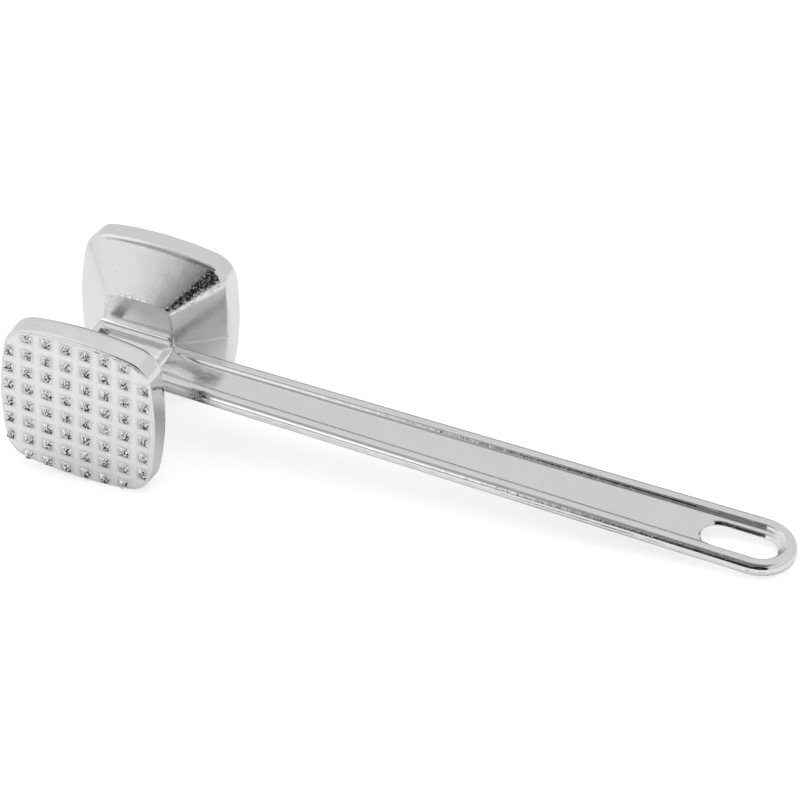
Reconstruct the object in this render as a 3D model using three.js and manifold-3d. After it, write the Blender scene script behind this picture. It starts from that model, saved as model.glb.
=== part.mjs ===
// A two-sided meat mallet, die cast in aluminium in one piece, in millimetres.
// The casting is divided at its natural boundaries into named solids that meet face to face.
// +X runs along the handle, +Y through the head from the fine teeth to the coarse teeth, +Z is up.
// The origin is the middle of the fine tooth face, on the flat floor between the teeth.

import * as THREE from 'three';
import { mergeVertices } from 'three/addons/utils/BufferGeometryUtils.js';
import Module from 'manifold-3d';

const wasm = await Module();
wasm.setup();

// Head: distances from the middle of the head, widths across the middle of the bulged sides.
const HEAD_HALF_DEPTH = 30.2; // to the floor between the teeth
const FACE_HALF = 25.0; // half side of the tooth face
const RIM_HALF = 25.2; // half side where the face edge has been rounded off
const RIDGE_HALF = 25.4; // half side at the ridge between flange and taper
const FACE_PLATE = 1.5; // thickness of the section that carries the teeth
const FLANGE_DEPTH = 7.5; // tooth floor to ridge
const FLANGE_CORNER = 8.1; // corner radius of the flange
const FLANGE_TURN = THREE.MathUtils.degToRad(9.4); // how far each side has turned at a corner

// Tapers: from the ridge down to a smaller rounded rectangle beside the hub.
const TAPER_END = 10.1; // distance of the small end from the middle of the head
const TAPER_END_HALF_X = 11.5;
const TAPER_END_HALF_Z = 13.4;
const TAPER_END_CORNER = 3.0;
const TAPER_END_TURN = THREE.MathUtils.degToRad(3);

// Teeth: a fine grid of pyramids with no corner teeth, and a coarse one on the other side.
const FINE = { count: 8, pitch: 6.25, base: 3.25, height: 1.4, tip: 0.5, shiftX: -0.4, shiftZ: -0.75 };
const COARSE = { count: 5, pitch: 9.4, base: 6.8, height: 2.9, tip: 0.9, shiftX: 0, shiftZ: 0 };
const TOOTH_ROOT = 0.4; // how deep a pyramid starts below the floor, so that it joins the plate

// Handle: an I section, widening evenly from the head to the hanging end.
const RIM_HALF_THICKNESS = 2.1;
const WEB_HALF_THICKNESS = 1.0;
const RIM_EDGE = 1.0; // rounding of the rims' long edges
const HANDLE_START = 15.0;
const HANDLE_SPLIT = 176.0; // where the plain handle meets the hanging end
const END_ARC_X = 198.5; // centre of the rounded end
const WIDTH_AT_START = 9.15; // half width of the handle at HANDLE_START
const WIDTH_AT_ARC = 11.2; // half width at END_ARC_X, the radius of the rounded end
const RIM_AT_START = 3.8; // width of one rim at HANDLE_START
const RIM_AT_ARC = 4.6; // and at END_ARC_X

// Slot in the hanging end, cast a little off centre so that it cuts into the near rim.
const SLOT_MIDDLE_X = 193.4;
const SLOT_MIDDLE_Y = -1.0;
const SLOT_HALF_LENGTH = 11.9;
const SLOT_HALF_WIDTH = 6.2;

// Hub: the flat bar between the two tapers, with a shallow pocket above and below.
const HUB_BACK = -12.9;
const HUB_SHOULDER = 12.2; // where the hub starts to narrow to the handle
const POCKET_BACK = -10.2;
const POCKET_FRONT = 13.1;
const POCKET_HALF_WIDTH = 6.8;
const POCKET_CORNER = 2.0;
const POCKET_DEPTH = 0.9;

// Facets in each curved run.
const SIDE_STEPS = 5;
const CORNER_STEPS = 6;
const EDGE_STEPS = 3;
const ARC_STEPS = 20;

const POLISHED = { color: 0xd2d4d6, roughness: 0.22, metalness: 1.0 };
const AS_CAST = { color: 0xb9bbbd, roughness: 0.45, metalness: 1.0 };

// A size that changes evenly along the handle, from HANDLE_START to END_ARC_X.
function alongHandle(x, atStart, atArc) {
  return THREE.MathUtils.mapLinear(x, HANDLE_START, END_ARC_X, atStart, atArc);
}

function handleHalfWidth(x) {
  return alongHandle(x, WIDTH_AT_START, WIDTH_AT_ARC);
}

function rimWidth(x) {
  return alongHandle(x, RIM_AT_START, RIM_AT_ARC);
}

// A rectangle with bulged sides and round corners: halfX and halfZ reach the middle of its sides,
// and each side has turned by `turn` where it meets the corner arc.
function bulgedOutline(halfX, halfZ, corner, turn) {
  const lean = Math.tan(turn / 2);
  const reachX = halfX - corner;
  const reachZ = halfZ - corner;
  const centreX = (reachX - lean * reachZ) / (1 - lean * lean);
  const centreZ = (reachZ - lean * reachX) / (1 - lean * lean);
  const points = [];
  for (let quarter = 0; quarter < 4; quarter += 1) {
    const along = quarter % 2 === 0 ? centreZ : centreX;
    const across = quarter % 2 === 0 ? centreX : centreZ;
    const sideRadius = along / Math.sin(turn) + corner;
    const sideCentre = across - along / Math.tan(turn);
    const run = [];
    for (let i = 0; i < SIDE_STEPS; i += 1) {
      const angle = turn * (2 * i / SIDE_STEPS - 1);
      run.push([sideCentre + sideRadius * Math.cos(angle), sideRadius * Math.sin(angle)]);
    }
    for (let i = 0; i < CORNER_STEPS; i += 1) {
      const angle = turn + (Math.PI / 2 - 2 * turn) * i / CORNER_STEPS;
      run.push([across + corner * Math.cos(angle), along + corner * Math.sin(angle)]);
    }
    for (const [u, v] of run) {
      const point = new THREE.Vector2(u, v);
      points.push(point.rotateAround(new THREE.Vector2(), quarter * Math.PI / 2));
    }
  }
  return points;
}

// Signed volume of an indexed geometry, positive when its faces point out.
function signedVolume(geometry) {
  const position = geometry.getAttribute('position');
  const index = geometry.getIndex();
  const a = new THREE.Vector3();
  const b = new THREE.Vector3();
  const c = new THREE.Vector3();
  let volume = 0;
  for (let i = 0; i < index.count; i += 3) {
    a.fromBufferAttribute(position, index.getX(i));
    b.fromBufferAttribute(position, index.getX(i + 1));
    c.fromBufferAttribute(position, index.getX(i + 2));
    volume += a.dot(b.cross(c)) / 6;
  }
  return volume;
}

// A closed solid through rings of the same number of points, with a flat cap on each end ring.
// capOutline is the ring's outline in its own plane, running anticlockwise.
function loft(rings, capOutline) {
  const size = rings[0].length;
  const vertices = rings.flat().flatMap((p) => [p.x, p.y, p.z]);
  const faces = [];
  for (let r = 0; r + 1 < rings.length; r += 1) {
    for (let i = 0; i < size; i += 1) {
      const a = r * size + i;
      const b = r * size + (i + 1) % size;
      faces.push(a, b, b + size, a, b + size, a + size);
    }
  }
  const last = (rings.length - 1) * size;
  for (const [a, b, c] of THREE.ShapeUtils.triangulateShape(capOutline, [])) {
    faces.push(a, c, b);
    faces.push(last + a, last + b, last + c);
  }
  const geometry = new THREE.BufferGeometry();
  geometry.setAttribute('position', new THREE.Float32BufferAttribute(vertices, 3));
  geometry.setIndex(faces);
  if (signedVolume(geometry) < 0) {
    geometry.setIndex(faces.reverse());
  }
  return geometry;
}

// A three.js geometry as a manifold solid, and back.
function toSolid(geometry) {
  const bare = geometry.clone();
  bare.deleteAttribute('normal');
  bare.deleteAttribute('uv');
  const merged = mergeVertices(bare, 1e-4);
  return new wasm.Manifold(new wasm.Mesh({
    numProp: 3,
    vertProperties: new Float32Array(merged.getAttribute('position').array),
    triVerts: new Uint32Array(merged.getIndex().array),
  }));
}

function toGeometry(solid) {
  const mesh = solid.getMesh();
  const geometry = new THREE.BufferGeometry();
  geometry.setAttribute('position', new THREE.BufferAttribute(mesh.vertProperties, 3));
  geometry.setIndex(new THREE.BufferAttribute(mesh.triVerts, 1));
  return geometry;
}

// A slice of the head between rounded squares, each given as [y, half side].
function headSlice(levels) {
  const rings = levels.map(([y, half]) => bulgedOutline(half, half, FLANGE_CORNER, FLANGE_TURN)
    .map((p) => new THREE.Vector3(p.x, y, p.y)));
  return loft(rings, rings[0].map((p) => new THREE.Vector2(p.x, p.z)));
}

// One blunt pyramid standing on the plane y = 0 and pointing to -Y, rooted below the plane.
function toothGeometry(grid) {
  const slope = (grid.base - grid.tip) / (2 * grid.height);
  const rootHalf = grid.base / 2 + slope * TOOTH_ROOT;
  const tall = grid.height + TOOTH_ROOT;
  const tooth = new THREE.CylinderGeometry(grid.tip * Math.SQRT1_2, rootHalf * Math.SQRT2, tall, 4, 1);
  tooth.rotateY(Math.PI / 4);
  tooth.translate(0, tall / 2 - TOOTH_ROOT, 0);
  tooth.rotateX(Math.PI);
  return tooth;
}

// The section of the head that carries a tooth grid, on the -Y side. The grid has no teeth at its
// corners, and its outer teeth are cut off at the edge of the face.
function toothFace(grid) {
  const front = -HEAD_HALF_DEPTH;
  const tooth = toothGeometry(grid);
  const edge = grid.count - 1;
  const teeth = [];
  for (let column = 0; column <= edge; column += 1) {
    for (let row = 0; row <= edge; row += 1) {
      const atCorner = (column === 0 || column === edge) && (row === 0 || row === edge);
      if (!atCorner) {
        const x = grid.shiftX + (column - edge / 2) * grid.pitch;
        const z = grid.shiftZ + (row - edge / 2) * grid.pitch;
        teeth.push(toSolid(tooth.clone().translate(x, front, z)));
      }
    }
  }
  const reach = headSlice([[front - 2 * grid.height, FACE_HALF], [front + TOOTH_ROOT, FACE_HALF]]);
  const field = teeth.reduce((joined, next) => joined.add(next)).intersect(toSolid(reach));
  const backing = headSlice([[front, FACE_HALF], [front + FACE_PLATE, RIM_HALF]]);
  return toGeometry(toSolid(backing).add(field));
}

// The thick rounded-square section behind the tooth face.
function flange() {
  const front = -HEAD_HALF_DEPTH;
  return headSlice([[front + FACE_PLATE, RIM_HALF], [front + FLANGE_DEPTH, RIDGE_HALF]]);
}

// The section that narrows from the ridge to the hub.
function taper() {
  const wide = bulgedOutline(RIDGE_HALF, RIDGE_HALF, FLANGE_CORNER, FLANGE_TURN);
  const narrow = bulgedOutline(TAPER_END_HALF_X, TAPER_END_HALF_Z, TAPER_END_CORNER, TAPER_END_TURN);
  const wideRing = wide.map((p) => new THREE.Vector3(p.x, -HEAD_HALF_DEPTH + FLANGE_DEPTH, p.y));
  const narrowRing = narrow.map((p) => new THREE.Vector3(p.x, -TAPER_END, p.y));
  return loft([wideRing, narrowRing], wide);
}

// A flat plate in the XY plane, centred on z = 0.
function plate(shape, halfThickness) {
  const geometry = new THREE.ExtrudeGeometry(shape, {
    depth: 2 * halfThickness,
    bevelEnabled: false,
    curveSegments: ARC_STEPS / 2,
  });
  return geometry.translate(0, 0, -halfThickness);
}

// The flat bar between the tapers, with its pocket above and below.
function hub() {
  const outline = new THREE.Shape();
  outline.moveTo(HUB_BACK, -TAPER_END);
  outline.lineTo(HUB_SHOULDER, -TAPER_END);
  outline.lineTo(HANDLE_START, -WIDTH_AT_START);
  outline.lineTo(HANDLE_START, WIDTH_AT_START);
  outline.lineTo(HUB_SHOULDER, TAPER_END);
  outline.lineTo(HUB_BACK, TAPER_END);
  outline.closePath();
  const pocket = new THREE.Shape();
  const sideY = POCKET_HALF_WIDTH - POCKET_CORNER;
  const backX = POCKET_BACK + POCKET_CORNER;
  const frontX = POCKET_FRONT - POCKET_CORNER;
  pocket.absarc(frontX, -sideY, POCKET_CORNER, -Math.PI / 2, 0);
  pocket.absarc(frontX, sideY, POCKET_CORNER, 0, Math.PI / 2);
  pocket.absarc(backX, sideY, POCKET_CORNER, Math.PI / 2, Math.PI);
  pocket.absarc(backX, -sideY, POCKET_CORNER, Math.PI, Math.PI * 1.5);
  pocket.closePath();
  let solid = toSolid(plate(outline, RIM_HALF_THICKNESS));
  for (const side of [-1, 1]) {
    const cutter = plate(pocket, RIM_HALF_THICKNESS);
    cutter.translate(0, 0, side * (2 * RIM_HALF_THICKNESS - POCKET_DEPTH));
    solid = solid.subtract(toSolid(cutter));
  }
  return toGeometry(solid);
}

// Cross-section of a rim of the given width, as distance inward from the handle's side and height.
// Its outer edges are rounded and its inner wall is flat, to meet the web.
function rimSection(width) {
  const points = [new THREE.Vector2(width, RIM_HALF_THICKNESS)];
  for (const [side, start] of [[1, Math.PI / 2], [-1, Math.PI]]) {
    const centreZ = side * (RIM_HALF_THICKNESS - RIM_EDGE);
    for (let i = 0; i <= EDGE_STEPS; i += 1) {
      const angle = start + Math.PI / 2 * i / EDGE_STEPS;
      const inward = RIM_EDGE * (1 + Math.cos(angle));
      points.push(new THREE.Vector2(inward, centreZ + RIM_EDGE * Math.sin(angle)));
    }
  }
  points.push(new THREE.Vector2(width, -RIM_HALF_THICKNESS));
  return points;
}

// A rim through stations in the XY plane, each with a point on the handle's side, the direction
// that leads inward from it, and the rim's width.
function rim(stations) {
  const rings = stations.map(([edge, inward, width]) => rimSection(width).map((p) => (
    new THREE.Vector3(edge.x + inward.x * p.x, edge.y + inward.y * p.x, p.y)
  )));
  return loft(rings, rimSection(stations[0][2]));
}

// A station on the straight side of the handle given by its sign.
function sideStation(x, side) {
  return [new THREE.Vector2(x, side * handleHalfWidth(x)), new THREE.Vector2(0, -side), rimWidth(x)];
}

function straightRim(side) {
  return rim([sideStation(HANDLE_START, side), sideStation(HANDLE_SPLIT, side)]);
}

// The thin web between the straight rims.
function web() {
  const startY = handleHalfWidth(HANDLE_START) - rimWidth(HANDLE_START);
  const splitY = handleHalfWidth(HANDLE_SPLIT) - rimWidth(HANDLE_SPLIT);
  const outline = new THREE.Shape();
  outline.moveTo(HANDLE_START, -startY);
  outline.lineTo(HANDLE_SPLIT, -splitY);
  outline.lineTo(HANDLE_SPLIT, splitY);
  outline.lineTo(HANDLE_START, startY);
  outline.closePath();
  return plate(outline, WEB_HALF_THICKNESS);
}

// The end of the handle: the rim carried round in a half circle, and the web with its slot.
function hangingEnd() {
  const stations = [sideStation(HANDLE_SPLIT, -1)];
  for (let i = 0; i <= ARC_STEPS; i += 1) {
    const angle = Math.PI * (i / ARC_STEPS - 0.5);
    const outward = new THREE.Vector2(Math.cos(angle), Math.sin(angle));
    const edge = new THREE.Vector2(END_ARC_X, 0).addScaledVector(outward, WIDTH_AT_ARC);
    stations.push([edge, outward.negate(), RIM_AT_ARC]);
  }
  stations.push(sideStation(HANDLE_SPLIT, 1));

  const midRim = WIDTH_AT_ARC - RIM_AT_ARC / 2;
  const splitY = handleHalfWidth(HANDLE_SPLIT) - rimWidth(HANDLE_SPLIT) / 2;
  const outline = new THREE.Shape();
  outline.moveTo(HANDLE_SPLIT, -splitY);
  outline.lineTo(END_ARC_X, -midRim);
  outline.absarc(END_ARC_X, 0, midRim, -Math.PI / 2, Math.PI / 2);
  outline.lineTo(HANDLE_SPLIT, splitY);
  outline.closePath();

  const slot = new THREE.Shape();
  const slotArc = SLOT_HALF_LENGTH - SLOT_HALF_WIDTH;
  slot.absarc(slotArc, 0, SLOT_HALF_WIDTH, -Math.PI / 2, Math.PI / 2);
  slot.absarc(-slotArc, 0, SLOT_HALF_WIDTH, Math.PI / 2, Math.PI * 1.5);
  slot.closePath();

  const cutter = plate(slot, 2 * RIM_HALF_THICKNESS).translate(SLOT_MIDDLE_X, SLOT_MIDDLE_Y, 0);
  const solid = toSolid(rim(stations)).add(toSolid(plate(outline, WEB_HALF_THICKNESS)));
  return toGeometry(solid.subtract(toSolid(cutter)));
}

function part(name, geometry, look) {
  const flat = geometry.index ? geometry : mergeVertices(geometry);
  flat.computeVertexNormals();
  const mesh = new THREE.Mesh(flat, new THREE.MeshStandardMaterial(look));
  mesh.name = name;
  return mesh;
}

// The head and handle are drawn around the middle of the head, then moved so that the fine tooth
// face's floor passes through the origin. The rear half of the head is the front half turned round.
const mallet = new THREE.Group();
mallet.position.y = HEAD_HALF_DEPTH;

const frontBlock = new THREE.Group();
frontBlock.add(part('tooth_face_fine', toothFace(FINE), AS_CAST));
frontBlock.add(part('flange_fine_side', flange(), POLISHED));
frontBlock.add(part('taper_fine_side', taper(), POLISHED));

const rearBlock = new THREE.Group();
rearBlock.rotation.z = Math.PI;
rearBlock.add(part('tooth_face_coarse', toothFace(COARSE), AS_CAST));
rearBlock.add(part('flange_coarse_side', flange(), POLISHED));
rearBlock.add(part('taper_coarse_side', taper(), POLISHED));

mallet.add(frontBlock, rearBlock);
mallet.add(part('hub_bar', hub(), POLISHED));
mallet.add(part('handle_web', web(), POLISHED));
mallet.add(part('handle_rim_near', straightRim(-1), POLISHED));
mallet.add(part('handle_rim_far', straightRim(1), POLISHED));
mallet.add(part('hanging_end', hangingEnd(), POLISHED));

export default mallet;
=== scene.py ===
"""Looks of a two-sided cast aluminium meat mallet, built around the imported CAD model.

Shapes are worked out in millimetres around the middle of the head, with X along the handle, Y through
the head from the fine teeth to the coarse teeth, and Z up, and then moved into the row frame in metres.
"""

import math

import bmesh
import bpy
import numpy as np
from mathutils import Matrix, Vector, noise
from mathutils.geometry import delaunay_2d_cdt


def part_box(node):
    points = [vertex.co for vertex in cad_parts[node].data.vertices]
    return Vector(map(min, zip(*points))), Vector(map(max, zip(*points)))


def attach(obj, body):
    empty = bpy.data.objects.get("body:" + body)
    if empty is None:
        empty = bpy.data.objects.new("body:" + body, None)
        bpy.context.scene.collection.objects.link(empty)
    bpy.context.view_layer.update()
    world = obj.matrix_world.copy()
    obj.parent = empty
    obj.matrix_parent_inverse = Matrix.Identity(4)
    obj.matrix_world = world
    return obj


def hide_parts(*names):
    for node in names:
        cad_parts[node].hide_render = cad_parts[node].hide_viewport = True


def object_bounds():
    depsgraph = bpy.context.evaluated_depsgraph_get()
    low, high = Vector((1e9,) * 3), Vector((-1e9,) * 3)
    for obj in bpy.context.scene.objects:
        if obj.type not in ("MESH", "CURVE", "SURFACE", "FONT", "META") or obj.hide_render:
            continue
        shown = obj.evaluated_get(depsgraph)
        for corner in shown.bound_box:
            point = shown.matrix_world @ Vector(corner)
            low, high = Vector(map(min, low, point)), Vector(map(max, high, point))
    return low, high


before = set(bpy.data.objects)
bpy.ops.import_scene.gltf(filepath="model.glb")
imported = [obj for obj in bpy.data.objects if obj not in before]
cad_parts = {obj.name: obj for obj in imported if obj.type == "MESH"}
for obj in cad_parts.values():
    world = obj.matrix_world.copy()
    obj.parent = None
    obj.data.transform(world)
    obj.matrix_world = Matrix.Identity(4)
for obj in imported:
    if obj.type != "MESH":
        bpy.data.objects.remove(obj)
cad_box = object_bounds()

MM = 0.001
CONVEXITY_GAIN = 0.6  # a ball of twice this radius, in millimetres, counts as fully sharp


def cad_box_mm(node):
    """Lowest and highest corner of a CAD node, in millimetres."""
    low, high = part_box(node)
    return np.array(low) / MM, np.array(high) / MM


# Driving dimensions, read from the frame, in millimetres.
HUB_LOW, HUB_HIGH = cad_box_mm("hub_bar")
FLANGE_LOW, FLANGE_HIGH = cad_box_mm("flange_fine_side")
WEB_LOW, WEB_HIGH = cad_box_mm("handle_web")
END_LOW, END_HIGH = cad_box_mm("hanging_end")
MIDDLE_Y = (HUB_LOW[1] + HUB_HIGH[1]) / 2
HEAD_HALF_DEPTH = MIDDLE_Y  # the origin lies in the floor of the fine tooth face
RIDGE_HALF = (FLANGE_HIGH[2] - FLANGE_LOW[2]) / 2
FLANGE_DEPTH = FLANGE_HIGH[1]
TAPER_END = (HUB_HIGH[1] - HUB_LOW[1]) / 2
HUB_BACK = HUB_LOW[0]
HANDLE_START = WEB_LOW[0]
RIM_TOP = HUB_HIGH[2]
WEB_TOP = WEB_HIGH[2]
END_RADIUS = (END_HIGH[1] - END_LOW[1]) / 2
END_ARC_X = END_HIGH[0] - END_RADIUS

# Head blocks.
FACE_HALF = RIDGE_HALF - 0.4  # the flange widens a little towards its ridge
FLANGE_CORNER = 8.1
FLANGE_TURN = math.radians(9.4)  # how far each bulged side has turned where it meets a corner
TAPER_END_HALF_X = 11.5
TAPER_END_HALF_Z = 13.4
TAPER_END_CORNER = 2.4
TAPER_END_TURN = math.radians(9)
FACE_LAND = 0.7  # smooth strip round the tooth face
FACE_EDGE_RADIUS = 0.55
RIDGE_RADIUS = 3.4
TAPER_EDGE_RADIUS = 0.7
PLATE_SEAT = 0.8  # how far the block is hollowed behind the tooth plate
SIDE_STEPS = 44
CORNER_STEPS = 14
MOULD_LINE_STEPS = (-0.016, -0.010, -0.005, 0.005, 0.010, 0.016)  # extra spots round the middle of a side

# Teeth. The shifts put the field off the middle of the face.
FINE = dict(count=8, pitch=6.25, base=3.45, height=1.4, tip=0.45, shift_x=-0.4, shift_z=-0.75)
COARSE = dict(count=5, pitch=9.4, base=6.8, height=2.9, tip=0.9, shift_x=0.0, shift_z=0.0)
TOOTH_SQUARENESS = 9  # power that sets how sharp the corners of a tooth are
TOOTH_FOOT = 0.03  # part of the height below which a point counts as floor
DIMPLE = 0.10  # how far the floor sinks round each tooth
TOOTH_GRIT = 0.10  # height of the casting grit on the teeth
BURR_HEIGHT = 0.5  # of the flash left at the edge of the tooth plate
BURR_INSET = 0.28
BURR_WIDTH = 0.16
POINT_GAP = 0.10  # least distance between points of a tooth face

# Handle.
WIDTH_AT_START = 9.15  # half width at HANDLE_START
NEAR_EDGE_RADIUS = 1.85
FAR_EDGE_RADIUS = 1.1
NEAR_SLOPE_INSET = 4.3  # from the outer wall to the steepest part of the slope into the channel
FAR_SLOPE_INSET = 3.75
CHANNEL_START = HANDLE_START - 0.3
CHANNEL_RAMP = 11.0  # length over which the channel reaches its full depth
WEB_DROP = 0.15  # how much lower the web lies than in the CAD
CHANNEL_FALL = RIM_TOP - WEB_TOP + WEB_DROP
CHANNEL_TILT = math.radians(60)
CHANNEL_SHARE = 0.35  # part of the fall taken by the rounding above the steepest line
STRAIGHT_END = 178.0  # where cross-sections stop and the mesh round the slot starts
SLOT_MIDDLE_X = 193.4
SLOT_MIDDLE_Y = -1.0
SLOT_HALF_LENGTH = 11.9
SLOT_HALF_WIDTH = 6.2
SLOT_BEVEL = 0.72  # how far the slot narrows down to the middle plane
SLOT_WALL_SLOPE = 5.0
SLOT_EDGE_BLEND = 0.3
# How far outside the slot's edge its rings of points lie.
SLOT_RINGS = (-0.66, -0.55, -0.42, -0.28, -0.18, -0.09, 0.0, 0.08, 0.16, 0.26, 0.4, 0.6)
HUB_REACH = TAPER_END + 0.6
HUB_EDGE_RADIUS = 0.4
HUB_BACK_RADIUS = 1.0
HUB_FILLET = 0.9
NECK_X = 12.2  # where the hub starts to narrow to the handle
POCKET_BACK = -10.2
POCKET_FRONT = 13.1
POCKET_HALF_WIDTH = 6.8
POCKET_RAMP = 3.0  # length of the slope at each end of the pocket
POCKET_FALL = 0.9
POCKET_TILT = math.radians(45)
POCKET_SHARE = 0.4
FLASH_HEIGHT = 0.18  # of the ridge left at the joint between the two halves of the mould
FLASH_WIDTH = 0.22

# Painted shade on the handle, dark marks painted where the photo is dark: the far edge with its wall, a line
# along the near rim's inner edge and a line low on the near wall, all painted shade and dark reflection, and
# a painted dark spot.
HEAVY_FLASH = (126, 166)  # the stretch where the mould halves fitted badly
HEAVY_FLASH_FADE = 6
HEAVY_FLASH_GAIN = 1.8
LOW_SHADE_DROP = 1.45  # how far below the middle plane the low line of painted shade runs
LOW_SHADE_WIDTH = 0.45
# A painted dark spot on the near wall.
DARK_SPOT_X = 29.5
DARK_SPOT_LENGTH = 3.5
INNER_LINE_OFFSET = 0.5  # outwards from the steepest part of the slope into the channel
INNER_LINE_WIDTH = 0.4
INNER_LINE_FADE = (22, 30)
FAR_LINE_DEPTH = (1.3, 0.8)  # in from the outer wall, from clean to dark
FAR_LINE_FADE = 3  # half the length over which it fades out at the hanging end
LINE_DARKNESS = 0.9

# Camera: where it looks from the middle of the CAD box, and how it stands.
CAMERA_AIM = (-0.0092, 0.0159, 0.0)
CAMERA_DISTANCE = 0.8706
CAMERA_AZIMUTH = math.radians(19.11)
CAMERA_ELEVATION = math.radians(38.45)
CAMERA_ROLL = math.radians(4.48)
CAMERA_LENS = 132.24

# Metal, as the colour where it is clean and where it is dark, and the depth of its bump in metres.
POLISHED_COLOURS = (0.83, 0.10)
POLISHED_BUMP = 0.00006
AS_CAST_COLOURS = (0.92, 0.04)
AS_CAST_BUMP = 0.00010

# Brightness of the tent that the metal mirrors, by height above the horizon in degrees.
TENT = [(-90, 0.88), (41, 0.94), (50, 1.07), (57, 0.94), (74, 0.70), (88, 0.42)]

# Panels in front of the tent: each has ranges of "azimuth" (degrees from -Y towards +X), "height" (degrees),
# "x" or "y" (parts of the direction), as low, high and softness, and then its brightness. They were set
# against the light in the photo.
PANELS = [
    ({"azimuth": (-125, -48, 20), "height": (-10, 52, 10)}, 1.10),
    ({"azimuth": (-145, -90, 8), "height": (38, 60, 5)}, 1.28),
    ({"azimuth": (-95, -8, 12), "height": (54, 78, 5)}, 0.52),
    ({"azimuth": (-62, -12, 4), "height": (10, 53, 3)}, 1.15),
    ({"azimuth": (-36, -12, 2), "height": (19, 36, 4)}, 2.0),
    ({"azimuth": (-40, 0, 6), "height": (-12, 8, 3)}, 0.38),
    ({"x": (-0.18, 0.50, 0.03), "y": (-1.0, 0.10, 0.10), "height": (56, 100, 4)}, 0.20),
    ({"x": (-0.205, 0.66, 0.02), "azimuth": (-50, 52, 3), "height": (44, 58, 4)}, 0.30),
    ({"x": (-0.225, 0.66, 0.012), "azimuth": (-50, 52, 3), "height": (4, 45, 4)}, 0.03),
    ({"azimuth": (12, 49, 4), "height": (-14, 54, 8)}, 0.015),
    ({"x": (-0.42, 0.15, 0.06), "y": (0.30, 2.0, 0.1), "height": (-3, 13, 3)}, 0.25),
]

ROOM_TINT = (0.8, 0.8, 0.8, 1)  # scales the brightness of the tent, its panels and the backdrop
BACKDROP = 1.27  # what the camera sees past the floor: white
FLOOR_HALF_SIZE = 6.0
FLOOR_GLOW = 1.22  # how the camera sees the white floor: partly as lit paper, partly as a glowing table
FLOOR_GLOW_SHARE = 0.62
LAMP_SIZE = 1.6
LAMP_POWER = 14


# ---------------------------------------------------------------- meshes

def add_piece(name, points, faces, material, nodes, grit_and_shade=None, painted_shade=None):
    """One piece of the object, from points in millimetres round the middle of the head."""
    mesh = bpy.data.meshes.new(name)
    placed = (np.asarray(points, float) + (0.0, MIDDLE_Y, 0.0)) * MM
    mesh.from_pydata(placed.tolist(), [], [list(map(int, face)) for face in faces])
    work = bmesh.new()
    work.from_mesh(mesh)
    bmesh.ops.recalc_face_normals(work, faces=work.faces)
    work.to_mesh(mesh)
    work.free()
    mesh.shade_smooth()
    piece = bpy.data.objects.new(name, mesh)
    bpy.context.scene.collection.objects.link(piece)
    mesh.materials.append(material)
    # How convex the surface is, for edge wear and for grime and painted shade in hollows.
    store(mesh, "wear_and_shade", convexity(mesh))
    store(mesh, "grit_and_shade", np.zeros(len(points)) if grit_and_shade is None else grit_and_shade)
    store(mesh, "painted_shade", np.zeros(len(points)) if painted_shade is None else painted_shade)
    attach(piece, "root")
    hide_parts(*nodes)
    return piece


def store(mesh, name, values):
    """Keeps one number for each vertex, for the materials to read."""
    layer = mesh.attributes.new(name, "FLOAT", "POINT")
    layer.data.foreach_set("value", np.asarray(values, np.float32))


def vertex_points(mesh):
    """Where the vertices lie, in metres."""
    points = np.empty(len(mesh.vertices) * 3)
    mesh.vertices.foreach_get("co", points)
    return points.reshape(-1, 3)


def convexity(mesh):
    """How convex the surface is at each vertex: 0.5 flat, 1 on edges, 0 in inner corners."""
    points = vertex_points(mesh)
    count = len(points)
    normals = np.empty(count * 3)
    mesh.vertex_normals.foreach_get("vector", normals)
    normals = normals.reshape(-1, 3)
    ends = np.empty(len(mesh.edges) * 2, int)
    mesh.edges.foreach_get("vertices", ends)
    a, b = ends.reshape(-1, 2).T
    step = points[b] - points[a]
    length = np.maximum(np.linalg.norm(step, axis=1), 1e-6)
    bend = ((normals[b] - normals[a]) * step).sum(1) / length ** 2
    total = np.zeros(count)
    weight = np.full(count, 1e-9)
    for end in (a, b):
        np.add.at(total, end, bend * length)
        np.add.at(weight, end, length)
    return np.clip(0.5 + CONVEXITY_GAIN * total / weight * MM, 0, 1)


def unit(vectors):
    """The same directions with length 1."""
    return vectors / np.maximum(np.linalg.norm(vectors, axis=-1, keepdims=True), 1e-12)


def smooth_min(a, b, blend):
    """The lower of two heights, rounded where they cross."""
    share = np.clip(0.5 + 0.5 * (b - a) / blend, 0, 1)
    return b * (1 - share) + a * share - blend * share * (1 - share)


def smooth_max(a, b, blend):
    """The higher of two heights, rounded where they cross."""
    return -smooth_min(-a, -b, blend)


def smooth_step(value, low, high):
    """Rises smoothly from 0 at low to 1 at high, which may also be the smaller of the two."""
    share = np.clip((value - low) / (high - low), 0, 1)
    return share * share * (3 - 2 * share)


def band(distance, width):
    """A soft band: 1 in its middle, and almost 0 at twice its width."""
    return np.exp(-(distance / width) ** 2)


def ripple(points, size, seed):
    """Smooth noise from -1 to 1 at each point, with features of about the given size."""
    offset = Vector((seed * 17.3, seed * 9.1, seed * 5.7))
    return np.array([noise.noise(Vector(p) / size + offset) for p in points])


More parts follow.
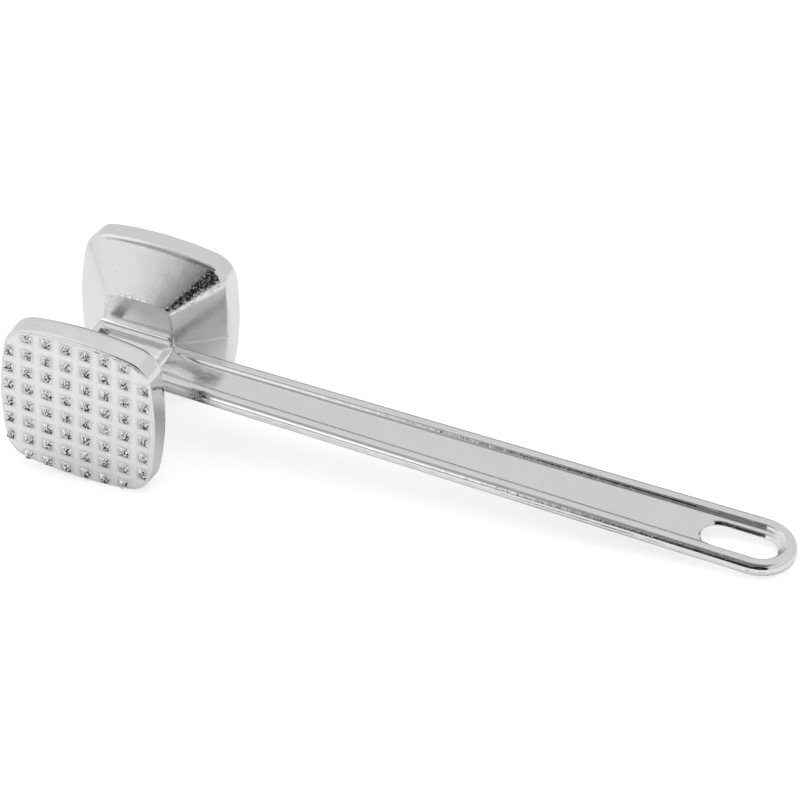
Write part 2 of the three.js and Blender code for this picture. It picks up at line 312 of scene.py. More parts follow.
def outline(half_x, half_z, corner, turn, spots):
    """Points on a rectangle with bulged sides and round corners.
    A spot from 0 to 1 lies on the +X side, 1 to 2 on the corner after it, and so on to 8."""
    lean = math.tan(turn / 2)
    reach_x = half_x - corner
    reach_z = half_z - corner
    centre_x = (reach_x - lean * reach_z) / (1 - lean * lean)
    centre_z = (reach_z - lean * reach_x) / (1 - lean * lean)
    side = (spots // 2).astype(int) % 4
    share = spots - 2 * (spots // 2)
    on_side = share <= 1
    angle = np.where(on_side, (2 * share - 1) * turn, turn + (share - 1) * (math.pi / 2 - 2 * turn))
    angle = angle + side * math.pi / 2
    sign_x = np.where((side == 0) | (side == 3), 1, -1)
    sign_z = np.where(side < 2, 1, -1)
    along_x = side % 2 == 0
    across = np.where(along_x, centre_x, centre_z)
    along = np.where(along_x, centre_z, centre_x)
    inner = across - along / math.tan(turn)
    facing = np.where(side < 2, 1, -1)
    arc_x = np.where(along_x, facing * inner, 0)
    arc_z = np.where(along_x, 0, facing * inner)
    base_x = np.where(on_side, arc_x, sign_x * centre_x)
    base_z = np.where(on_side, arc_z, sign_z * centre_z)
    radius = np.where(on_side, along / math.sin(turn) + corner, corner)
    x = base_x + radius * np.cos(angle)
    z = base_z + radius * np.sin(angle)
    return np.stack([x, z], 1)


def rounded_path(corners, radii, line_steps, arc_steps):
    """Rows of points that follow the corner rows, with each inner corner rounded to its radius."""
    rows = []
    start = corners[0]
    for j in range(1, len(corners) - 1):
        to_last = unit(corners[j - 1] - corners[j])
        to_next = unit(corners[j + 1] - corners[j])
        half = np.arccos(np.clip((to_last * to_next).sum(1, keepdims=True), -1, 1)) / 2
        radius = np.reshape(radii[j - 1], (-1, 1)) * np.ones_like(half)
        centre = corners[j] + unit(to_last + to_next) * radius / np.sin(half)
        first = corners[j] + to_last * radius / np.tan(half)
        last = corners[j] + to_next * radius / np.tan(half)
        for i in range(line_steps[j - 1]):
            rows.append(start + (first - start) * i / line_steps[j - 1])
        spread = math.pi - 2 * half
        for i in range(arc_steps[j - 1]):
            share = i / arc_steps[j - 1]
            near = np.sin((1 - share) * spread) / np.sin(spread)
            far = np.sin(share * spread) / np.sin(spread)
            rows.append(centre + (first - centre) * near + (last - centre) * far)
        start = last
    for i in range(line_steps[-1] + 1):
        rows.append(start + (corners[-1] - start) * i / line_steps[-1])
    return rows


def loft_faces(row_count, column_count):
    """Quads between closed rows, and a face over each end."""
    faces = []
    for row in range(row_count - 1):
        low = row * column_count
        high = low + column_count
        for i in range(column_count):
            j = (i + 1) % column_count
            faces.append((low + i, low + j, high + j, high + i))
    last = (row_count - 1) * column_count
    faces.append(tuple(range(column_count))[::-1])
    faces.append(tuple(range(last, last + column_count)))
    return faces


# ---------------------------------------------------------------- head blocks

def outline_spots(extra=()):
    """Spots round an outline, with any extra ones on each side."""
    side = sorted([*np.linspace(0, 1, SIDE_STEPS + 1)[:-1], *extra])
    corner = list(np.linspace(1, 2, CORNER_STEPS + 1)[:-1])
    return np.array([2 * k + s for k in range(4) for s in side + corner])


def at_depth(flat, y):
    """Outline points placed at one depth through the head."""
    return np.stack([flat[:, 0], np.full(len(flat), y), flat[:, 1]], 1)


def block_surface():
    """Rows of points of one head block, with its face towards -Y."""
    spots = outline_spots([0.5 + step for step in MOULD_LINE_STEPS])  # closer where the mould halves met
    front = -HEAD_HALF_DEPTH
    inset = FACE_HALF - FACE_LAND
    land = outline(inset, inset, FLANGE_CORNER - FACE_LAND, FLANGE_TURN, spots)
    face = outline(FACE_HALF, FACE_HALF, FLANGE_CORNER, FLANGE_TURN, spots)
    ridge = outline(RIDGE_HALF, RIDGE_HALF, FLANGE_CORNER, FLANGE_TURN, spots)
    small = outline(TAPER_END_HALF_X, TAPER_END_HALF_Z, TAPER_END_CORNER, TAPER_END_TURN, spots)
    seat = [at_depth(land, front + PLATE_SEAT)]
    corners = [
        at_depth(land, front),
        at_depth(face, front),
        at_depth(ridge, front + FLANGE_DEPTH),
        at_depth(small, -TAPER_END),
        at_depth(small * 0.3, -TAPER_END),
    ]
    radii = [FACE_EDGE_RADIUS, RIDGE_RADIUS, TAPER_EDGE_RADIUS]
    return seat + rounded_path(corners, radii, [1, 6, 22, 8], [6, 12, 6])


def mould_line(points, strength):
    """Raises the thin ridge at z = 0 on the faces that look along X."""
    moved = points.copy()
    rough = 0.65 + 0.35 * ripple(points, 1.3, 3) + 0.35 * ripple(points, 5.0, 4)
    height = strength * band(points[:, 2], FLASH_WIDTH) * np.clip(rough, 0, 1.5)
    moved[:, 0] += np.sign(points[:, 0]) * height * (np.abs(points[:, 0]) > 8)
    return moved


def head_block(name, side, material, nodes):
    """A head block on the -Y side, or turned round to the +Y side."""
    rows = block_surface()
    columns = len(rows[0])
    points = np.concatenate(rows)
    faces = loft_faces(len(rows), columns)
    away = unit(points * (1, 0, 1))
    swell = 0.05 * ripple(points, 11.0, 1) + 0.02 * ripple(points, 4.0, 2)
    free = smooth_step(points[:, 1], -HEAD_HALF_DEPTH + 0.3, -HEAD_HALF_DEPTH + 1.5)
    points = points + away * (swell * free)[:, None]
    points = mould_line(points, FLASH_HEIGHT)
    if side > 0:
        points = points * (-1, -1, 1)
    ridge_y = HEAD_HALF_DEPTH - FLANGE_DEPTH
    grit_and_shade = smooth_step(np.abs(points[:, 1]), ridge_y, ridge_y - 2)
    return add_piece(name, points, faces, material, nodes, grit_and_shade)


# ---------------------------------------------------------------- tooth faces

def thinned(groups, gap):
    """Joins groups of 2-D points, dropping any that lies within the gap of an earlier group's."""
    kept = []
    cells = {}
    for group in groups:
        fresh = []
        for x, y in group:
            column, row = int(x // gap), int(y // gap)
            near = (
                p
                for i in (column - 1, column, column + 1)
                for j in (row - 1, row, row + 1)
                for p in cells.get((i, j), ())
            )
            if all((p[0] - x) ** 2 + (p[1] - y) ** 2 > gap * gap for p in near):
                fresh.append((x, y))
        for x, y in fresh:
            cells.setdefault((int(x // gap), int(y // gap)), []).append((x, y))
        kept += fresh
    return np.array(kept)


def triangulated(loops, extra):
    """Triangles over the area inside the first loop and outside the others, through extra points. Also says
    which given point each made one comes from."""
    points = [tuple(p) for loop in loops for p in loop]
    edges = []
    start = 0
    for loop in loops:
        edges += [(start + i, start + (i + 1) % len(loop)) for i in range(len(loop))]
        start += len(loop)
    points += [tuple(p) for p in extra]
    made = delaunay_2d_cdt([Vector(p) for p in points], edges, [], 1, 1e-7)
    flat = np.array([tuple(p) for p in made[0]])
    origin = np.array([sources[0] for sources in made[3]])
    triangles = np.array([face for face in made[2] if len(face) == 3])
    middle = flat[triangles].mean(1)
    for loop in loops[1:]:
        triangles = triangles[~inside(middle, loop)]
        middle = flat[triangles].mean(1)
    return flat, triangles, origin


def inside(points, loop):
    """Which 2-D points lie inside a closed loop."""
    loop = np.asarray(loop)
    x, y = points[:, 0], points[:, 1]
    result = np.zeros(len(points), bool)
    for (ax, ay), (bx, by) in zip(loop, np.roll(loop, -1, axis=0)):
        if ay != by:
            crosses = (ay > y) != (by > y)
            result ^= crosses & (x < (bx - ax) * (y - ay) / (by - ay) + ax)
    return result


def distance_to_loop(points, loop):
    """Distance from each 2-D point to the nearest edge of a closed loop."""
    best = np.full(len(points), np.inf)
    for a, b in zip(loop, np.roll(loop, -1, axis=0)):
        along = b - a
        share = np.clip(((points - a) @ along) / max(along @ along, 1e-12), 0, 1)
        best = np.minimum(best, np.linalg.norm(points - a - share[:, None] * along, axis=1))
    return best


def tooth_height(grid, flat, edge):
    """Height of the tooth field above its floor, and its grit and painted shade: above 0 on the teeth, most
    on their low side, where it stands in for shade, and below 0 on the floor close round them, for a ring of
    painted shade."""
    rng = np.random.default_rng(grid["count"])
    count = grid["count"]
    tallness = 1 - 0.10 * rng.random((count, count))
    lean = rng.normal(0, 0.06, (count, count, 2))
    place = (flat - (grid["shift_x"], grid["shift_z"])) / grid["pitch"] + (count - 1) / 2
    column, row = np.clip(np.round(place), 0, count - 1).astype(int).T
    offset = (place - np.stack([column, row], 1)) * grid["pitch"] - lean[column, row]
    reach = square_reach(offset)
    slope = grid["height"] / (grid["base"] / 2 - grid["tip"] / 2)
    top = grid["height"] * tallness[column, row]
    raised = smooth_min((grid["base"] / 2 - reach) * slope, top, 0.12 * grid["height"])
    raised = smooth_max(raised, 0.0, 0.10 * grid["height"])
    last = count - 1
    missing = ((column == 0) | (column == last)) & ((row == 0) | (row == last))
    raised = np.where(missing, 0, raised) * smooth_step(edge, 0.0, 0.2)
    foot = grid["base"] / 2
    # A ring of painted shade on the floor round the foot of each tooth.
    halo = smooth_step(reach, foot + 0.9, foot + 0.1) * smooth_step(edge, 0, 1.2)
    halo = np.where(missing, 0, halo)
    share = raised / grid["height"]
    # Painted shade on each tooth's low side.
    low_side = np.clip(0.5 + (offset[:, 0] - offset[:, 1]) / grid["base"], 0, 1)
    cast = TOOTH_GRIT * ripple(np.c_[flat, np.zeros(len(flat))], 0.55, 8) * smooth_step(share, 0.05, 0.3)
    grit_and_shade = np.where(share > TOOTH_FOOT, share ** 0.3 * (0.25 + 0.75 * low_side), -0.5 * halo)
    return raised - DIMPLE * halo + cast, grit_and_shade


def square_reach(offset):
    """How far out each 2-D offset is, along squares with rounded corners."""
    return (np.abs(offset) ** TOOTH_SQUARENESS).sum(1) ** (1 / TOOTH_SQUARENESS)


def tooth_points(grid):
    """Points round each tooth: rounded squares from the tip out to the floor."""
    half = grid["base"] / 2
    tip = grid["tip"] / 2
    rings = [0.5 * tip, tip, tip + 0.07 * half, *np.linspace(tip + 0.17 * half, 0.90 * half, 5)]
    rings += [0.96 * half, 1.0 * half, 1.04 * half, 1.10 * half, 1.3 * half]
    share = np.linspace(-1, 1, 9)[:-1]
    square = [(1, s) for s in share] + [(-s, 1) for s in share]
    square += [(-1, -s) for s in share] + [(s, -1) for s in share]
    square = np.array(square)
    shrink = square_reach(square)
    groups = []
    for i in range(grid["count"]):
        for j in range(grid["count"]):
            centre = np.array([
                grid["shift_x"] + (i - (grid["count"] - 1) / 2) * grid["pitch"],
                grid["shift_z"] + (j - (grid["count"] - 1) / 2) * grid["pitch"],
            ])
            groups += [centre + square / shrink[:, None] * ring for ring in rings]
            groups.append(centre[None, :])
            groups.append(centre + square * grid["pitch"] / 2)
    return groups


def tooth_face(name, grid, side, material, nodes):
    """The plate that carries one field of teeth, let into its head block."""
    spots = outline_spots()

    def ring(inset):
        half = FACE_HALF - FACE_LAND - inset
        return outline(half, half, FLANGE_CORNER - FACE_LAND - inset, FLANGE_TURN, spots)

    border = ring(0.0)
    groups = [ring(step) for step in (0.14, 0.28, 0.42, 0.58, 0.85)]
    groups += tooth_points(grid)
    extra = thinned(groups, POINT_GAP)
    extra = extra[inside(extra, ring(0.1))]
    flat, triangles, _ = triangulated([border], extra)
    edge = distance_to_loop(flat, border)
    height, grit_and_shade = tooth_height(grid, flat, edge)
    place = np.c_[flat, np.zeros(len(flat))]
    height += 0.02 * ripple(place, 3.0, 7) * smooth_step(edge, 0, 0.5)
    burr = np.clip(ripple(place, 1.6, 14) + 0.25 * np.sign(flat.sum(1)), 0, 1)
    height += BURR_HEIGHT * burr * band(edge - BURR_INSET, BURR_WIDTH)
    points = np.stack([flat[:, 0], -HEAD_HALF_DEPTH - height, flat[:, 1]], 1)
    rim = nearest_in_order(flat, border)
    back = np.stack([border[:, 0], np.full(len(border), -HEAD_HALF_DEPTH + PLATE_SEAT / 2), border[:, 1]], 1)
    start = len(points)
    points = np.concatenate([points, back])
    faces = [tuple(t) for t in triangles]
    count = len(border)
    wall = [(rim[i], start + i, start + (i + 1) % count, rim[(i + 1) % count]) for i in range(count)]
    faces = faces + wall + [tuple(range(start, start + count))]
    if side > 0:
        points = points * (-1, -1, 1)
    grit_and_shade = np.concatenate([grit_and_shade, np.zeros(count)])
    return add_piece(name, points, faces, material, nodes, grit_and_shade)


def nearest_in_order(flat, border):
    """For each border point, the index of the same point in flat."""
    return [int(np.argmin(((flat - p) ** 2).sum(1))) for p in border]


# ---------------------------------------------------------------- handle

def along_handle(x, at_start, at_arc):
    """A size that changes evenly from HANDLE_START to END_ARC_X."""
    return at_start + (at_arc - at_start) * (x - HANDLE_START) / (END_ARC_X - HANDLE_START)


def half_width(x):
    """Half width of the handle, flaring smoothly into the hub near the head."""
    plain = along_handle(np.maximum(x, HANDLE_START), WIDTH_AT_START, END_RADIUS)
    flare = np.clip((HANDLE_START + 1.0 - x) / (HANDLE_START + 1.0 - NECK_X), 0, 1)
    return plain + (HUB_REACH - plain) * (1 - np.sqrt(1 - flare ** 2))


def near_to_far(y, near, far):
    """A size that changes from the side nearest the fine teeth to the other."""
    return near + (far - near) * smooth_step(y, -7, 7)


def outer_depth(x, y):
    """Distance in from the handle's outer wall."""
    round_end = END_RADIUS - np.hypot(x - END_ARC_X, y)
    return np.where(x > END_ARC_X, round_end, half_width(x) - np.abs(y))


def channel_depth(x, y):
    """Distance in from the line where the slope into the channel is steepest."""
    return outer_depth(x, y) - near_to_far(y, NEAR_SLOPE_INSET, FAR_SLOPE_INSET)


def slot_distance(x, y):
    """Distance outside the edge of the hanging slot."""
    past_straight = np.maximum(np.abs(x - SLOT_MIDDLE_X) - SLOT_HALF_LENGTH + SLOT_HALF_WIDTH, 0)
    return np.hypot(past_straight, y - SLOT_MIDDLE_Y) - SLOT_HALF_WIDTH


def sunk(depth, total, tilt, share):
    """How far a hollow has sunk at a distance inside its steepest line, where it leans by the tilt.
    The share is the part of the fall taken by the rounding above that line."""
    radii = total / (1 - math.cos(tilt))
    upper = share * radii
    lower = radii - upper
    above = np.clip(depth + upper * math.sin(tilt), 0, upper * math.sin(tilt))
    below = np.clip(lower * math.sin(tilt) - depth, 0, lower * math.sin(tilt))
    falling = upper - np.sqrt(upper ** 2 - above ** 2)
    settling = lower - np.sqrt(lower ** 2 - below ** 2)
    return np.where(depth < 0, falling, total - settling)


def round_edge(top, distance, radius):
    """Height near a wall, with the edge rounded."""
    over = np.clip(1 - distance / radius, 0, 1)
    return top - radius * (1 - np.sqrt(1 - over ** 2))


def handle_height(x, y):
    """Height of the handle's upper surface above its middle plane."""
    channel = sunk(channel_depth(x, y), CHANNEL_FALL, CHANNEL_TILT, CHANNEL_SHARE)
    pocket = sunk(POCKET_HALF_WIDTH - np.abs(y), POCKET_FALL, POCKET_TILT, POCKET_SHARE)
    pocket_end = np.minimum(x - POCKET_BACK, POCKET_FRONT - x)
    top = RIM_TOP - channel * smooth_step(x, CHANNEL_START - 1, CHANNEL_START + CHANNEL_RAMP)
    top = top - pocket * smooth_step(pocket_end, -1, POCKET_RAMP)
    reach = np.clip(1 - (TAPER_END - np.abs(y)) / HUB_FILLET, 0, 1)
    beside_head = smooth_step(x, TAPER_END_HALF_X + 1.0, TAPER_END_HALF_X - 1.5)
    top = top + HUB_FILLET * (1 - np.sqrt(1 - reach ** 2)) * beside_head
    beyond_head = smooth_step(x, TAPER_END_HALF_X + 0.5, HANDLE_START)
    handle_edge = near_to_far(y, NEAR_EDGE_RADIUS, FAR_EDGE_RADIUS)
    edge_radius = HUB_EDGE_RADIUS + (handle_edge - HUB_EDGE_RADIUS) * beyond_head
    top = round_edge(top, outer_depth(x, y), edge_radius)
    top = round_edge(top, x - HUB_BACK, HUB_BACK_RADIUS)
    outside = slot_distance(x, y)
    web = RIM_TOP - CHANNEL_FALL
    bevel = np.where(outside < 0, web * (1 + outside / SLOT_BEVEL), web + SLOT_WALL_SLOPE * outside)
    return smooth_min(top, bevel, SLOT_EDGE_BLEND * np.clip(1 + outside / SLOT_BEVEL, 0.01, 1))


def spaced(start, stop, gap):
    """Even steps of at most about the gap."""
    return np.linspace(start, stop, max(2, int(abs(stop - start) / gap) + 1))


def handle_stations():
    """Places along the handle where cross-sections are drawn, closer together where the shape changes."""
    spans = [
        (HUB_BACK + 0.03, HUB_BACK + HUB_BACK_RADIUS, 0.12),
        (HUB_BACK + HUB_BACK_RADIUS, POCKET_BACK + 1.2, 0.2),
        (POCKET_BACK + 1.2, TAPER_END_HALF_X - 0.5, 0.7),
        (TAPER_END_HALF_X - 0.5, CHANNEL_START + 3.0, 0.2),
        (CHANNEL_START + 3.0, STRAIGHT_END, 0.8),
    ]
    places = [spaced(*span)[:-1] for span in spans]
    return np.concatenate([[HUB_BACK], *places, [STRAIGHT_END]])


def slot_ring(distance):
    """Points round the hanging slot, at a distance outside its edge."""
    reach = SLOT_HALF_LENGTH - SLOT_HALF_WIDTH
    radius = SLOT_HALF_WIDTH + distance
    angle = np.linspace(-math.pi / 2, math.pi / 2, 56)
    right = np.stack([reach + radius * np.cos(angle), radius * np.sin(angle)], 1)
    along = spaced(reach, -reach, 0.35)[1:-1]
    top = np.stack([along, np.full(len(along), radius)], 1)
    half = np.concatenate([right, top])
    return np.concatenate([half, -half]) + (SLOT_MIDDLE_X, SLOT_MIDDLE_Y)


def rim_insets():
    """How far in from the outer wall the rings of the rim lie. The first two belong to the mould line."""
    fan = NEAR_EDGE_RADIUS * (1 - np.sin(np.radians(np.linspace(90, 0, 14))))
    return np.concatenate([[0.0, 0.0], fan + 0.004, [NEAR_EDGE_RADIUS + 0.25]])


def rim_rings(straight_x, insets):
    """Rings round the whole handle, from the mould line in over the rim. Gives their flat positions, the
    heights that are already settled, and a table of point numbers by place along the handle and ring."""
    past_x = spaced(STRAIGHT_END, END_ARC_X, 0.6)[1:-1]
    side_x = np.concatenate([straight_x, past_x])
    side = np.stack([side_x, -half_width(side_x)], 1)
    angle = np.linspace(-math.pi / 2, math.pi / 2, 72)
    facing = np.stack([np.cos(angle), np.sin(angle)], 1)
    path = np.concatenate([side, facing * END_RADIUS + (END_ARC_X, 0), side[::-1] * (1, -1)])
    inward = np.concatenate([np.tile((0, 1), (len(side), 1)), -facing, np.tile((0, -1), (len(side), 1))])
    rings = [path + inward * inset for inset in insets]
    rings[0] = path - inward * flash_height(path)[:, None]
    flat = np.stack(rings, 1).reshape(-1, 2)
    level = np.full((len(path), len(rings)), np.nan)
    level[:, 0] = 0
    level[:, 1] = FLASH_WIDTH / 2
    level[[0, -1], :] = 0
    return flat, level.reshape(-1), np.arange(len(flat)).reshape(level.shape)


def section_points(straight_x, rim_width):
    """Flat positions of the cross-sections between the rims, and how many points each has."""
    slope_in = np.arange(rim_width + 0.2, NEAR_SLOPE_INSET + 1.8, 0.2)
    inner_share = np.linspace(0, 1, 7)[1:]
    rows = []
    for x in straight_x:
        half = half_width(np.array(x))
        inset = np.concatenate([slope_in, slope_in[-1] + (half - slope_in[-1]) * inner_share])
        near = inset - half
        rows.append(np.concatenate([near, -near[-2::-1]]))
    across = len(rows[0])
    return np.stack([np.repeat(straight_x, across), np.concatenate(rows)], 1), across


def slot_end_points(rim_width):
    """Points round the hanging slot and over the rest of the rounded end, clear of its rim."""
    near_slot = np.concatenate([slot_ring(step) for step in SLOT_RINGS])
    lattice = hexagonal(STRAIGHT_END, END_ARC_X + END_RADIUS, -END_RADIUS, END_RADIUS, 0.32)
    lattice = lattice[slot_distance(*lattice.T) > SLOT_RINGS[-1] + 0.2]
    room = outer_depth(*near_slot.T) > rim_width + 0.12
    points = np.concatenate([near_slot[room], lattice[outer_depth(*lattice.T) > rim_width + 0.2]])
    return points[points[:, 0] > STRAIGHT_END + 0.2]


def table_faces(table):
    """Quads over a table of point numbers."""
    low = table[:-1]
    high = table[1:]
    corners = np.stack([low[:, :-1], high[:, :-1], high[:, 1:], low[:, 1:]], -1)
    return [tuple(face) for face in corners.reshape(-1, 4)]


def handle_mesh():
    """The upper surface of the handle: flat positions, faces, and the heights that are already settled."""
    straight_x = handle_stations()
    count = len(straight_x)
    insets = rim_insets()
    flat, level, rim = rim_rings(straight_x, insets)

    # Cross-sections between the rims.
    sections, across = section_points(straight_x, insets[-1])
    table = len(flat) + np.arange(len(sections)).reshape(count, across)
    table = np.column_stack([rim[:count, -1], table, rim[::-1][:count, -1]])
    flat = np.concatenate([flat, sections])
    level = np.concatenate([level, np.repeat(np.where(straight_x == HUB_BACK, 0, np.nan), across)])
    faces = table_faces(rim) + table_faces(table)

    # The end with the hanging slot.
    border_index = np.concatenate([table[-1][::-1], rim[count:-count, -1]])
    border = flat[border_index]
    hole = slot_ring(-SLOT_BEVEL)
    made, triangles, origin = triangulated([border, hole], slot_end_points(insets[-1]))
    known = origin < len(border)
    index = np.empty(len(made), int)
    index[known] = border_index[origin[known]]
    index[~known] = len(flat) + np.arange((~known).sum())
    on_hole = origin[~known] < len(border) + len(hole)
    level = np.concatenate([level, np.where(on_hole, 0, np.nan)])
    flat = np.concatenate([flat, made[~known]])
    faces += [tuple(index[t]) for t in triangles]
    return flat, faces, level


def hexagonal(low_x, high_x, low_y, high_y, gap):
    """Evenly spread points over a rectangle."""
    columns = np.arange(low_x, high_x, gap)
    rows = np.arange(low_y, high_y, gap * math.sqrt(3) / 2)
    x, y = np.meshgrid(columns, rows)
    x[::2] += gap / 2
    return np.stack([x.ravel(), y.ravel()], 1)


def flash_height(path):
    """How far the mould line stands out along the handle's edge."""
    place = np.c_[path, np.zeros(len(path))]
    broken = np.clip(0.5 + 0.6 * ripple(place, 4.0, 5) + 0.4 * ripple(place, 1.5, 6), 0, 1)
    return FLASH_HEIGHT * (broken + HEAVY_FLASH_GAIN * heavy_flash(path[:, 0])) + 0.01


def heavy_flash(x):
    """Where along the handle the mould halves fitted badly, from 0 to 1."""
    start, stop = HEAVY_FLASH
    return smooth_step(x, start, start + HEAVY_FLASH_FADE) * smooth_step(x, stop, stop - HEAVY_FLASH_FADE)


def handle_painted_shade(points):
    """How much painted shade each point of the handle gets, from 0 to 1."""
    x, y, z = points.T
    near = smooth_step(y, 1, -1)
    depth = outer_depth(x, y)
    on_wall = near * (depth < NEAR_EDGE_RADIUS)
    # Painted shade along the far edge and over the far wall.
    far_line = smooth_step(depth, *FAR_LINE_DEPTH) * (1 - near)
    far_line = far_line * smooth_step(x, TAPER_END_HALF_X, HANDLE_START)
    far_line = far_line * smooth_step(x, END_ARC_X + FAR_LINE_FADE, END_ARC_X - FAR_LINE_FADE)
    # Painted shade along the near rim's inner edge.
    inner_line = band(channel_depth(x, y) + INNER_LINE_OFFSET, INNER_LINE_WIDTH)
    inner_line = inner_line * near * smooth_step(x, *INNER_LINE_FADE)
    # A line of painted shade low on the near wall, where the flash is heavy.
    low_shade = band(z + LOW_SHADE_DROP, LOW_SHADE_WIDTH) * on_wall * heavy_flash(x)
    # A painted dark spot on the near wall.
    dark_spot = band(x - DARK_SPOT_X, DARK_SPOT_LENGTH) * on_wall
    return LINE_DARKNESS * (far_line + inner_line) + low_shade + dark_spot


def handle(material):
    """The hub, web, rims and hanging end: the upper surface and its mirror image below."""
    flat, faces, level = handle_mesh()
    height = np.where(np.isnan(level), handle_height(*flat.T), level)
    upper = np.c_[flat, height]
    free = np.flatnonzero(height != 0)
    mirror = np.arange(len(flat))
    mirror[free] = len(flat) + np.arange(len(free))
    points = np.concatenate([upper, upper[free] * (1, 1, -1)])
    turned = []
    for face in faces:
        a, b, c = flat[list(face[:3])]
        area = (b[0] - a[0]) * (c[1] - a[1]) - (b[1] - a[1]) * (c[0] - a[0])
        turned.append(face if area > 0 else face[::-1])
    faces = turned + [tuple(mirror[list(face)][::-1]) for face in turned]
    nodes = ("hub_bar", "handle_web", "handle_rim_near", "handle_rim_far", "hanging_end")
    painted_shade = handle_painted_shade(points)
    return add_piece("handle_casting", points, faces, material, nodes, painted_shade=painted_shade)


# ---------------------------------------------------------------- materials

def node(tree, kind, inputs=(), **settings):
    """Adds a shader node. Inputs are pairs of socket name or index, and a value or another socket."""
    made = tree.nodes.new(kind)
    for key, value in settings.items():
        setattr(made, key, value)
    for key, value in dict(inputs).items():
        if isinstance(value, bpy.types.NodeSocket):
            tree.links.new(value, made.inputs[key])
        else:
            made.inputs[key].default_value = value
    return made


def mapped(tree, value, low, high, to_low, to_high, smooth=False):
    """A value moved from one range to another, and held at the ends."""
    kind = "SMOOTHSTEP" if smooth else "LINEAR"
    made = node(tree, "ShaderNodeMapRange", {"Value": value, "From Min": low, "From Max": high,
                                             "To Min": to_low, "To Max": to_high}, interpolation_type=kind)
    return made.outputs["Result"]


def maths(tree, operation, a, b=0.0):
    """One sum on sockets or numbers."""
    return node(tree, "ShaderNodeMath", {0: a, 1: b}, operation=operation).outputs[0]


def product(tree, *values):
    """Sockets or numbers multiplied together."""
    result = values[0]
    for value in values[1:]:
        result = maths(tree, "MULTIPLY", result, value)
    return result


def stored(tree, name):
    """A number kept at each vertex by add_piece."""
    return node(tree, "ShaderNodeAttribute", attribute_name=name).outputs["Fac"]


def grain(tree, place, scale, detail=3.0, roughness=0.55):
    """Noise from 0 to 1, with about scale grains to the metre."""
    made = node(tree, "ShaderNodeTexNoise", {"Vector": place, "Scale": scale, "Detail": detail,
                                             "Roughness": roughness})
    return made.outputs["Fac"]


def new_metal(name):
    """A bare metal, ready for its colour, roughness and bump."""
    material = bpy.data.materials.new(name)
    material.use_nodes = True
    tree = material.node_tree
    tree.nodes.clear()
    shader = node(tree, "ShaderNodeBsdfPrincipled", {"Metallic": 1.0})
    output = node(tree, "ShaderNodeOutputMaterial")
    tree.links.new(shader.outputs[0], output.inputs["Surface"])
    return material, tree, shader


def grey_between(tree, share, clean, dark):
    """A neutral grey, from the clean metal's to the dark metal's."""
    made = node(tree, "ShaderNodeMix", {"Factor": share}, data_type="RGBA")
    colours = [s for s in made.inputs if s.type == "RGBA"]
    colours[0].default_value = (clean, clean, clean, 1)
    colours[1].default_value = (dark, dark, dark, 1)
    return next(s for s in made.outputs if s.type == "RGBA")


def total_of(tree, *terms):
    """Sum of sockets, each times a number."""
    total = maths(tree, "MULTIPLY", *terms[0])
    for socket, weight in terms[1:]:
        total = maths(tree, "ADD", total, maths(tree, "MULTIPLY", socket, weight))
    return total


def finish_metal(tree, shader, colour, roughness, height, distance):
    """Joins the colour, the roughness and a bump to a metal's shader."""
    tree.links.new(colour, shader.inputs["Base Color"])
    tree.links.new(roughness, shader.inputs["Roughness"])
    bump = node(tree, "ShaderNodeBump", {"Strength": 1.0, "Distance": distance, "Height": height})
    tree.links.new(bump.outputs[0], shader.inputs["Normal"])


def polished_metal():
    """Bright metal with pits, grime and painted shade in its hollows, painted shade in dark marks on the
    handle, chipped edges and grainy corners on the slopes of the blocks.
    """
    material, tree, shader = new_metal("polished_cast_aluminium")
    place = node(tree, "ShaderNodeTexCoord").outputs["Object"]
    wear_and_shade = stored(tree, "wear_and_shade")
    on_slope = stored(tree, "grit_and_shade")
    cloud = grain(tree, place, 90, 5)
    speck = grain(tree, place, 1900, 3, 0.7)
    patch = grain(tree, place, 260, 5, 0.65)
    # Grime and painted shade in inner corners and hollows.
    hollow_shade = mapped(tree, wear_and_shade, 0.15, 0.45, 1, 0)
    edge = mapped(tree, wear_and_shade, 0.6, 0.9, 0, 1)
    corner = mapped(tree, wear_and_shade, 0.505, 0.54, 0, 1)
    pits = mapped(tree, speck, 0.28, 0.34, 1, 0)
    # Painted shade: the handle's dark lines and spot, broken up by speck noise.
    painted_shade = product(tree, stored(tree, "painted_shade"), mapped(tree, speck, 0.40, 0.56, 0.3, 1))
    dark = total_of(tree, (cloud, 0.09), (hollow_shade, 0.11), (pits, 0.2), (painted_shade, 1.0))
    colour = grey_between(tree, dark, *POLISHED_COLOURS)
    uneven = mapped(tree, patch, 0.3, 0.7, 0.05, 0.11)
    roughness = total_of(
        tree, (uneven, 1.0), (hollow_shade, 0.04), (edge, -0.02), (on_slope, 0.12), (corner, -0.07)
    )
    lengthwise = node(tree, "ShaderNodeMapping", {"Vector": place, "Scale": (0.04, 1, 1)}).outputs[0]
    streak = grain(tree, lengthwise, 1500, 2)
    calm = maths(tree, "SUBTRACT", 1.0, product(tree, on_slope, 0.6))
    peel = product(tree, grain(tree, place, 330, 2, 0.5), calm)
    fine = grain(tree, place, 2200, 3, 0.7)
    grains = maths(tree, "SUBTRACT", grain(tree, place, 1500, 3, 0.65), 0.5)
    chips = product(tree, mapped(tree, patch, 0.50, 0.60, 0, 1), edge)
    edge_sand = product(tree, grains, chips)
    sparse = mapped(tree, grain(tree, place, 1100, 3, 0.7), 0.50, 0.58, 0, 1)
    corner_sand = maths(tree, "MULTIPLY", product(tree, grains, sparse), product(tree, corner, on_slope))
    height = total_of(
        tree, (streak, 0.25), (peel, 0.6), (fine, 0.22), (pits, -0.6), (edge_sand, 4.0), (corner_sand, 5.0)
    )
    finish_metal(tree, shader, colour, roughness, height, POLISHED_BUMP)
    return material


